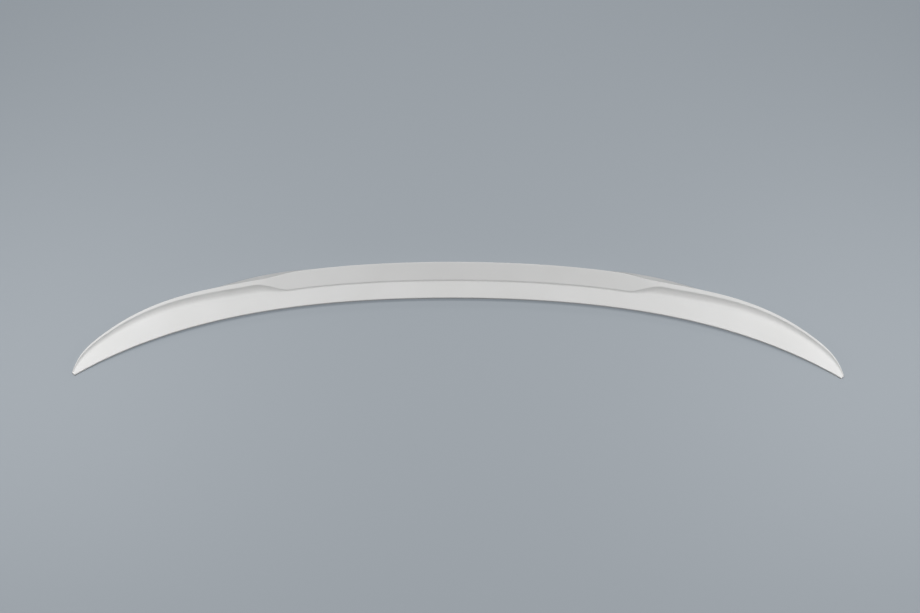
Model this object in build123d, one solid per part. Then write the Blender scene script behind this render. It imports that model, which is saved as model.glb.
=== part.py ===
from build123d import *
import math
import os
from dataclasses import astuple, dataclass, replace

# A lip spoiler for a boot lid, moulded in one piece and open below, in millimetres.
# It lies as it would on a bench: X runs across the car, Y points rearwards and Z up, and the
# origin is under the middle of its box. The rear edge and both tips touch the bench.

# Footprint, seen from above: the leading edge and the rear edge meet at the two tips
SPAN = 1250.0
MIDDLE_DEPTH = 75.5
LEAD_SWEEP = 152.0
LEAD_ROUNDNESS = 0.60
REAR_SWEEP = 189.4
REAR_ROUNDNESS = 0.433
END_SWEEP = 12.6
END_SWEEP_POWER = 20
CORNER_POWER = 84

# The lid under it falls towards the rear, so the leading edge stands higher than the rear edge
LID_ANGLE = 6.0
RAMP_ANGLE = 7.0
EDGE_THICKNESS = 2.5
EDGE_RADIUS = 1.4

# Section across the raised middle: ramp, small step, broad upper face, crest and rear slope
MIDDLE_RAMP_RUN = 30.0
MIDDLE_STEP_RUN = 1.5
MIDDLE_STEP_RISE = 3.0
MIDDLE_STEP_HOLLOW = 2.0
MIDDLE_LIP_RADIUS = 1.5
MIDDLE_CREST_RUN = 55.9
MIDDLE_CREST_RISE = 23.3
MIDDLE_TAIL_RUN = 19.6

# Section across a shoulder, where the crest dips and the step has grown into a hollow sweep
SHOULDER_RAMP_RUN = 40.3
SHOULDER_STEP_RUN = 5.5
SHOULDER_STEP_RISE = 11.8
SHOULDER_STEP_HOLLOW = 15.0
SHOULDER_LIP_RADIUS = 2.2
SHOULDER_CREST_RUN = 53.0
SHOULDER_CREST_RISE = 20.5
SHOULDER_TAIL_RUN = 24.0

# Section across a side, with its narrow lip; towards the tips it shrinks with the depth
SIDE_RAMP_RUN = 59.8
SIDE_STEP_RUN = 5.0
SIDE_STEP_RISE = 10.8
SIDE_STEP_HOLLOW = 15.0
SIDE_LIP_RADIUS = 2.0
SIDE_CREST_RUN = 70.2
SIDE_CREST_RISE = 20.6
SIDE_TAIL_RUN = 3.8

# Crest rounding, and the slight hollow of the rear slope below the crest
CREST_RADIUS = 1.3
KNEE_SHARE = 0.3
KNEE_HOLLOW = 1.2
KNEE_RADIUS = 8.0

# The crest falls a little from the middle to its dip; then one section passes into the next.
# Places are measured across from the middle.
CREST_FALL = 1.8
CREST_DIP_START = 268.0
CREST_DIP_LENGTH = 58.5
STEP_GROWTH_START = 290.0
STEP_GROWTH_LENGTH = 56.0
SIDE_START = 331.0
SIDE_LENGTH = 228.0

# The rear edge thickens behind each shoulder and thins again along the side
EDGE_LIFT = 4.1
EDGE_LIFT_START = 232.0
EDGE_LIFT_LENGTH = 60.0
EDGE_FALL_START = 318.0
EDGE_FALL_LENGTH = 100.0

# Underside: an open hollow between two bonding lands, with the ends left solid up to the tips
WALL = 2.5
FRONT_LAND = 16.0
REAR_LAND = 6.0
SOLID_END = 132.0
CUT_BELOW = 2.0

# Stations as shares of the half span, measured along each edge: a little past the middle, close
# together where the section changes and round the end corner, and ending just short of the tip.
# Their spacing changes gradually, which keeps the loft fair.
STATIONS = (
    [-0.08, 0.0, 0.08, 0.16, 0.23, 0.29, 0.34]
    + [0.375, 0.402, 0.425, 0.447, 0.469, 0.491, 0.514, 0.54, 0.572]
    + [0.612, 0.662, 0.715, 0.768, 0.818, 0.86]
    + [0.892, 0.916, 0.934, 0.949, 0.962, 0.974, 0.988]
)
STATION_GAP = 0.02


@dataclass
class Profile:
    """One cross-section: runs go rearwards from the leading edge, rises go up from its top."""

    ramp_run: float
    step_run: float
    step_rise: float
    step_hollow: float
    lip_radius: float
    crest_run: float
    crest_rise: float
    tail_run: float


MIDDLE = Profile(
    ramp_run=MIDDLE_RAMP_RUN,
    step_run=MIDDLE_STEP_RUN,
    step_rise=MIDDLE_STEP_RISE,
    step_hollow=MIDDLE_STEP_HOLLOW,
    lip_radius=MIDDLE_LIP_RADIUS,
    crest_run=MIDDLE_CREST_RUN,
    crest_rise=MIDDLE_CREST_RISE,
    tail_run=MIDDLE_TAIL_RUN,
)
SHOULDER = Profile(
    ramp_run=SHOULDER_RAMP_RUN,
    step_run=SHOULDER_STEP_RUN,
    step_rise=SHOULDER_STEP_RISE,
    step_hollow=SHOULDER_STEP_HOLLOW,
    lip_radius=SHOULDER_LIP_RADIUS,
    crest_run=SHOULDER_CREST_RUN,
    crest_rise=SHOULDER_CREST_RISE,
    tail_run=SHOULDER_TAIL_RUN,
)
SIDE = Profile(
    ramp_run=SIDE_RAMP_RUN,
    step_run=SIDE_STEP_RUN,
    step_rise=SIDE_STEP_RISE,
    step_hollow=SIDE_STEP_HOLLOW,
    lip_radius=SIDE_LIP_RADIUS,
    crest_run=SIDE_CREST_RUN,
    crest_rise=SIDE_CREST_RISE,
    tail_run=SIDE_TAIL_RUN,
)


def bow(share, roundness):
    """Bow of an edge that bends a little faster towards the tips than a parabola does."""
    return roundness * share**2 + (1 - roundness) * share**4


def leading_edge_point(share):
    """Point of the leading edge at a share of the half span, with Y zero at its middle."""
    return Vector(share * SPAN / 2, -LEAD_SWEEP * bow(share, LEAD_ROUNDNESS))


def rear_edge_point(share):
    """Point of the rear edge, which turns the end corner and runs down to the tip."""
    end_edge = MIDDLE_DEPTH + LEAD_SWEEP - REAR_SWEEP - END_SWEEP
    sweep = REAR_SWEEP * bow(share, REAR_ROUNDNESS) + END_SWEEP * share**END_SWEEP_POWER
    return Vector(share * SPAN / 2, MIDDLE_DEPTH - sweep - end_edge * share**CORNER_POWER)


def draw_edge(edge_point):
    """Draw one edge of the footprint from tip to tip, with its points closer towards the tips."""
    count = 60
    right = [1 - (1 - i / count) ** 2 for i in range(count + 1)]
    left = [-share for share in reversed(right[1:])]
    return Spline([edge_point(share) for share in left + right])


def smooth_step(value, start, length):
    """Rise smoothly from 0 to 1 over a length that begins at start."""
    t = min(max((value - start) / length, 0.0), 1.0)
    return t * t * (3 - 2 * t)


def mix(first, second, weight):
    """Blend two profiles, size by size."""
    return Profile(*(a + (b - a) * weight for a, b in zip(astuple(first), astuple(second))))


def profile_at(across):
    """The profile at a distance across from the middle."""
    fall = CREST_FALL * smooth_step(across, 0, CREST_DIP_START)
    middle = replace(MIDDLE, crest_rise=MIDDLE_CREST_RISE - fall)
    grown = mix(middle, SHOULDER, smooth_step(across, STEP_GROWTH_START, STEP_GROWTH_LENGTH))
    dipped = mix(middle, SHOULDER, smooth_step(across, CREST_DIP_START, CREST_DIP_LENGTH))
    grown.crest_run = dipped.crest_run
    grown.crest_rise = dipped.crest_rise
    grown.tail_run = dipped.tail_run
    return mix(grown, SIDE, smooth_step(across, SIDE_START, SIDE_LENGTH))


def rounded_outline(points, radii):
    """Closed outline with rounded corners; two that would meet on a side share it instead."""
    corners = [Vector(*point) for point in points]
    count = len(corners)
    reach = []
    for i, radius in enumerate(radii):
        before = corners[i - 1] - corners[i]
        after = corners[(i + 1) % count] - corners[i]
        reach.append(radius / math.tan(math.radians(before.get_angle(after)) / 2))
    limit = [1.0] * count
    for i in range(count):
        j = (i + 1) % count
        room = 0.96 * (corners[j] - corners[i]).length
        if reach[i] + reach[j] > room:
            share = room / (reach[i] + reach[j])
            limit[i] = min(limit[i], share)
            limit[j] = min(limit[j], share)
    return FilletPolyline(points, radius=[r * k for r, k in zip(radii, limit)], close=True)


def offset_corner(before, corner, after, distance):
    """Corner of a line drawn a distance below a line that runs through three points."""
    first = (Vector(*corner) - Vector(*before)).normalized()
    second = (Vector(*after) - Vector(*corner)).normalized()
    first_normal = Vector(first.Y, -first.X)
    second_normal = Vector(second.Y, -second.X)
    shift = (first_normal + second_normal) * (distance / (1 + first_normal.dot(second_normal)))
    return (corner[0] + shift.X, corner[1] + shift.Y)


class Station:
    """The upright section plane that joins one point of the leading edge to one of the rear edge."""

    def __init__(self, lead, rear):
        span = rear - lead
        self.depth = span.length
        self.lift = self.depth * math.tan(math.radians(LID_ANGLE))
        self.profile = profile_at(abs(rear.X))
        self.scale = self.depth / (self.profile.crest_run + self.profile.tail_run)
        lifted = smooth_step(abs(rear.X), EDGE_LIFT_START, EDGE_LIFT_LENGTH)
        fallen = smooth_step(abs(rear.X), EDGE_FALL_START, EDGE_FALL_LENGTH)
        self.rear_thickness = EDGE_THICKNESS + EDGE_LIFT * lifted * (1 - fallen)
        rearwards = span.normalized()
        self.plane = Plane(
            origin=(lead.X, lead.Y, self.lift),
            x_dir=rearwards,
            z_dir=rearwards.cross(Vector(0, 0, 1)),
        )

    def base_height(self, run):
        """Height of the lid under the section, measured from the foot of the leading edge."""
        return -self.lift * run / self.depth

    def surface(self):
        """Corners of the outer surface, from the foot of the leading edge to that of the rear edge."""
        p = self.profile
        ramp_rise = p.ramp_run * math.tan(math.radians(RAMP_ANGLE))
        tail_drop = p.crest_rise + self.lift / self.scale
        upper = [
            (0, 0),
            (p.ramp_run, ramp_rise),
            (p.ramp_run + p.step_run, ramp_rise + p.step_rise),
            (p.crest_run, p.crest_rise),
            (p.crest_run + KNEE_SHARE * p.tail_run, p.crest_rise - KNEE_SHARE * tail_drop - KNEE_HOLLOW),
        ]
        points = [(run * self.scale, EDGE_THICKNESS + rise * self.scale) for run, rise in upper]
        return [(0, 0)] + points + [(self.depth, self.rear_thickness - self.lift), (self.depth, -self.lift)]

    def outer(self):
        """Outline of the whole moulding at this station."""
        p = self.profile
        radii = [0, EDGE_RADIUS]
        radii += [r * self.scale for r in (p.step_hollow, p.lip_radius, CREST_RADIUS, KNEE_RADIUS)]
        radii += [EDGE_RADIUS, 0]
        return self.plane * rounded_outline(self.surface(), radii)

    def hollow(self):
        """Outline of the hollow, one wall below the outer surface and open through the base."""
        surface = self.surface()
        ramp_angle = math.radians(RAMP_ANGLE)
        front_height = EDGE_THICKNESS + FRONT_LAND * math.tan(ramp_angle) - WALL / math.cos(ramp_angle)
        rear_run = self.depth - REAR_LAND
        points = [
            (FRONT_LAND, self.base_height(FRONT_LAND) - CUT_BELOW),
            (FRONT_LAND, front_height),
            offset_corner(*surface[1:4], WALL),
            offset_corner(*surface[3:6], WALL),
            (rear_run, self.base_height(rear_run) - CUT_BELOW),
        ]
        return self.plane * Polyline(points, close=True)


def make_spoiler():
    """Loft the right half, take out its hollow, mirror it and set the origin under the middle."""
    lead = draw_edge(leading_edge_point)
    rear = draw_edge(rear_edge_point)

    def station(share):
        along = (1 + share) / 2
        return Station(lead @ along, rear @ along)

    hollow_start = 2 * STATIONS[0]
    hollow_end = 1 - SOLID_END / (lead.length / 2)
    between = [share for share in STATIONS if share < hollow_end - STATION_GAP]
    hollow_shares = [hollow_start] + between + [hollow_end]
    body = Solid.make_loft([Wire(station(share).outer().edges()) for share in STATIONS])
    hollow = Solid.make_loft([Wire(station(share).hollow().edges()) for share in hollow_shares])
    half = split(body - hollow, bisect_by=Plane.YZ, keep=Keep.TOP)
    whole = half + mirror(half, about=Plane.YZ)
    box = whole.bounding_box()
    return Pos(0, -box.center().Y, -box.min.Z) * whole


spoiler = make_spoiler()
os.makedirs("parts", exist_ok=True)
export_step(spoiler, "parts/spoiler.step")
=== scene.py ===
import math

import bpy
from mathutils import Euler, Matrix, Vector

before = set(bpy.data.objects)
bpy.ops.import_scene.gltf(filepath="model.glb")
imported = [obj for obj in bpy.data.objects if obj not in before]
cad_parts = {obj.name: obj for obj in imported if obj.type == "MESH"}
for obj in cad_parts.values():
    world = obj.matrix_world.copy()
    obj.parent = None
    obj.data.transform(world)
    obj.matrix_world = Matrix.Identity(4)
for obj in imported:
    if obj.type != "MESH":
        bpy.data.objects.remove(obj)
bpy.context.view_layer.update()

# Camera: from the front and above, in metres and degrees, with lens and sensor in millimetres
CAMERA_TARGET = Vector((0.0027, 0.0252, 0.0))
CAMERA_DISTANCE = 3.0
CAMERA_ELEVATION = 57.0
CAMERA_ROLL = 0.25
CAMERA_LENS = 70.9
CAMERA_SENSOR_WIDTH = 36.0

# Floor and backdrop: the tones that are seen, and the little light that the floor throws back up
FLOOR_SIZE = 40.0
BACKDROP = (0.20, 0.225, 0.25, 1.0)
FLOOR_COLOUR = (0.17, 0.18, 0.19, 1.0)
FLOOR_BOUNCE = (0.08, 0.08, 0.08, 1.0)
FLOOR_ROUGHNESS = 0.85

# Softboxes: places, aims and sizes in metres, power in watts; the end ones stand right and left
OVERHEAD_PLACE = Vector((0.0, -0.12, 1.9))
OVERHEAD_AIM = Vector((0.0, 0.0, 0.0))
OVERHEAD_SIZE = (1.0, 0.4)
OVERHEAD_WATTS = 13.8
END_PLACE = Vector((0.8, -0.12, 0.7))
END_AIM = Vector((0.65, -0.08, 0.0))
END_SIZE = (0.5, 0.3)
END_WATTS = 3.1
REAR_PLACE = Vector((0.0, 1.4, 1.0))
REAR_AIM = Vector((0.0, 0.0, 0.0))
REAR_SIZE = (1.4, 0.4)
REAR_WATTS = 3.2
RIGHT_TO_LEFT = Vector((-1, 1, 1))
WORLD_FILL = (0.05, 0.05, 0.05, 1.0)

# Moulding: its two whites, its clouding, and how far through the clouding each white is reached
MOULDING_WHITE = (0.80, 0.80, 0.795, 1.0)
MOULDING_WARM = (0.765, 0.765, 0.755, 1.0)
MOULDING_IOR = 1.49
CLOUD_SCALE = 9.0
CLOUD_DETAIL = 4.0
CLOUD_WARM_SHARE = 0.3
CLOUD_WHITE_SHARE = 0.65

# Satin of the moulding: its roughness where it is glossiest and dullest, and a fine orange peel
SATIN_GLOSSIEST = 0.42
SATIN_DULLEST = 0.54
PEEL_SCALE = 700.0
PEEL_DETAIL = 2.0
PEEL_STRENGTH = 0.12
PEEL_HEIGHT = 0.0004


def new_material(name):
    """A node material with an empty tree but for its shader and output."""
    material = bpy.data.materials.new(name)
    material.use_nodes = True
    nodes = material.node_tree.nodes
    nodes.clear()
    output = nodes.new("ShaderNodeOutputMaterial")
    shader = nodes.new("ShaderNodeBsdfPrincipled")
    material.node_tree.links.new(shader.outputs["BSDF"], output.inputs["Surface"])
    return material, shader


def moulded_white():
    """Satin white moulded plastic: faint clouding, uneven gloss and a fine orange peel."""
    material, shader = new_material("moulded_white")
    nodes = material.node_tree.nodes
    link = material.node_tree.links.new
    place = nodes.new("ShaderNodeTexCoord")
    shader.inputs["IOR"].default_value = MOULDING_IOR

    cloud = nodes.new("ShaderNodeTexNoise")
    cloud.inputs["Scale"].default_value = CLOUD_SCALE
    cloud.inputs["Detail"].default_value = CLOUD_DETAIL
    link(place.outputs["Object"], cloud.inputs["Vector"])
    tint = nodes.new("ShaderNodeValToRGB")
    tint.color_ramp.elements[0].position = CLOUD_WARM_SHARE
    tint.color_ramp.elements[0].color = MOULDING_WARM
    tint.color_ramp.elements[1].position = CLOUD_WHITE_SHARE
    tint.color_ramp.elements[1].color = MOULDING_WHITE
    link(cloud.outputs["Fac"], tint.inputs["Fac"])
    link(tint.outputs["Color"], shader.inputs["Base Color"])

    gloss = nodes.new("ShaderNodeMapRange")
    gloss.inputs["To Min"].default_value = SATIN_GLOSSIEST
    gloss.inputs["To Max"].default_value = SATIN_DULLEST
    link(cloud.outputs["Fac"], gloss.inputs["Value"])
    link(gloss.outputs["Result"], shader.inputs["Roughness"])

    peel = nodes.new("ShaderNodeTexNoise")
    peel.inputs["Scale"].default_value = PEEL_SCALE
    peel.inputs["Detail"].default_value = PEEL_DETAIL
    link(place.outputs["Object"], peel.inputs["Vector"])
    bump = nodes.new("ShaderNodeBump")
    bump.inputs["Strength"].default_value = PEEL_STRENGTH
    bump.inputs["Distance"].default_value = PEEL_HEIGHT
    link(peel.outputs["Fac"], bump.inputs["Height"])
    link(bump.outputs["Normal"], shader.inputs["Normal"])
    return material


def seen_rays(tree):
    """1 for rays that show a surface, straight or in gloss or glass, and 0 for plain light."""
    path = tree.nodes.new("ShaderNodeLightPath")
    gloss_or_glass = tree.nodes.new("ShaderNodeMath")
    gloss_or_glass.operation = "MAXIMUM"
    tree.links.new(path.outputs["Is Glossy Ray"], gloss_or_glass.inputs[0])
    tree.links.new(path.outputs["Is Transmission Ray"], gloss_or_glass.inputs[1])
    seen = tree.nodes.new("ShaderNodeMath")
    seen.operation = "MAXIMUM"
    tree.links.new(path.outputs["Is Camera Ray"], seen.inputs[0])
    tree.links.new(gloss_or_glass.outputs["Value"], seen.inputs[1])
    return seen.outputs["Value"]


def colour_by_ray(tree, unseen_colour, seen_colour):
    """One colour for rays of plain light and another for rays that show the surface."""
    colour = tree.nodes.new("ShaderNodeMix")
    colour.data_type = "RGBA"
    sockets = [socket for socket in colour.inputs if socket.type == "RGBA"]
    sockets[0].default_value = unseen_colour
    sockets[1].default_value = seen_colour
    tree.links.new(seen_rays(tree), colour.inputs["Factor"])
    return [socket for socket in colour.outputs if socket.type == "RGBA"][0]


def matt_floor():
    """Plain pale floor with the object's shadow, which throws little light back up."""
    material, shader = new_material("matt_floor")
    tree = material.node_tree
    shader.inputs["Roughness"].default_value = FLOOR_ROUGHNESS
    tree.links.new(colour_by_ray(tree, FLOOR_BOUNCE, FLOOR_COLOUR), shader.inputs["Base Color"])
    shader.inputs["Emission Color"].default_value = BACKDROP
    tree.links.new(seen_rays(tree), shader.inputs["Emission Strength"])
    return material


def add_floor():
    """Lay the floor under the object."""
    bpy.ops.object.select_all(action="DESELECT")
    bpy.ops.mesh.primitive_plane_add(size=FLOOR_SIZE, location=(0, 0, 0))
    floor = bpy.context.object
    floor.name = "floor"
    floor.data.materials.append(matt_floor())


def add_softbox(name, place, aim, size, watts):
    """An area lamp at a place, turned towards a point."""
    lamp = bpy.data.lights.new(name, "AREA")
    lamp.shape = "RECTANGLE"
    lamp.size, lamp.size_y = size
    lamp.energy = watts
    holder = bpy.data.objects.new(name, lamp)
    holder.location = place
    holder.rotation_euler = (aim - place).to_track_quat("-Z", "Y").to_euler()
    bpy.context.scene.collection.objects.link(holder)


def add_light():
    """A broad overhead softbox, a weak one behind, a smaller one over each end and a dim, even world."""
    add_softbox("overhead", OVERHEAD_PLACE, OVERHEAD_AIM, OVERHEAD_SIZE, OVERHEAD_WATTS)
    add_softbox("rear", REAR_PLACE, REAR_AIM, REAR_SIZE, REAR_WATTS)
    add_softbox("right_end", END_PLACE, END_AIM, END_SIZE, END_WATTS)
    add_softbox("left_end", END_PLACE * RIGHT_TO_LEFT, END_AIM * RIGHT_TO_LEFT, END_SIZE, END_WATTS)
    world = bpy.data.worlds.new("studio")
    world.use_nodes = True
    tree = world.node_tree
    background = tree.nodes["Background"]
    tree.links.new(colour_by_ray(tree, WORLD_FILL, BACKDROP), background.inputs["Color"])
    bpy.context.scene.world = world


def add_camera():
    """Camera at the photograph's viewing angle, with its slight roll."""
    lens = bpy.data.cameras.new("camera")
    lens.lens = CAMERA_LENS
    lens.sensor_width = CAMERA_SENSOR_WIDTH
    camera = bpy.data.objects.new("camera", lens)
    tilt = math.radians(90 - CAMERA_ELEVATION)
    back = Vector((0, -math.sin(tilt), math.cos(tilt)))
    camera.location = CAMERA_TARGET + back * CAMERA_DISTANCE
    tilted = Euler((tilt, 0, 0)).to_quaternion()
    rolled = Euler((0, 0, math.radians(CAMERA_ROLL))).to_quaternion()
    camera.rotation_euler = (tilted @ rolled).to_euler()
    bpy.context.scene.collection.objects.link(camera)
    bpy.context.scene.camera = camera


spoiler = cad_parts["spoiler"]
spoiler.data.materials.clear()
spoiler.data.materials.append(moulded_white())
add_floor()
add_light()
add_camera()
bpy.context.scene.view_settings.view_transform = "Standard"
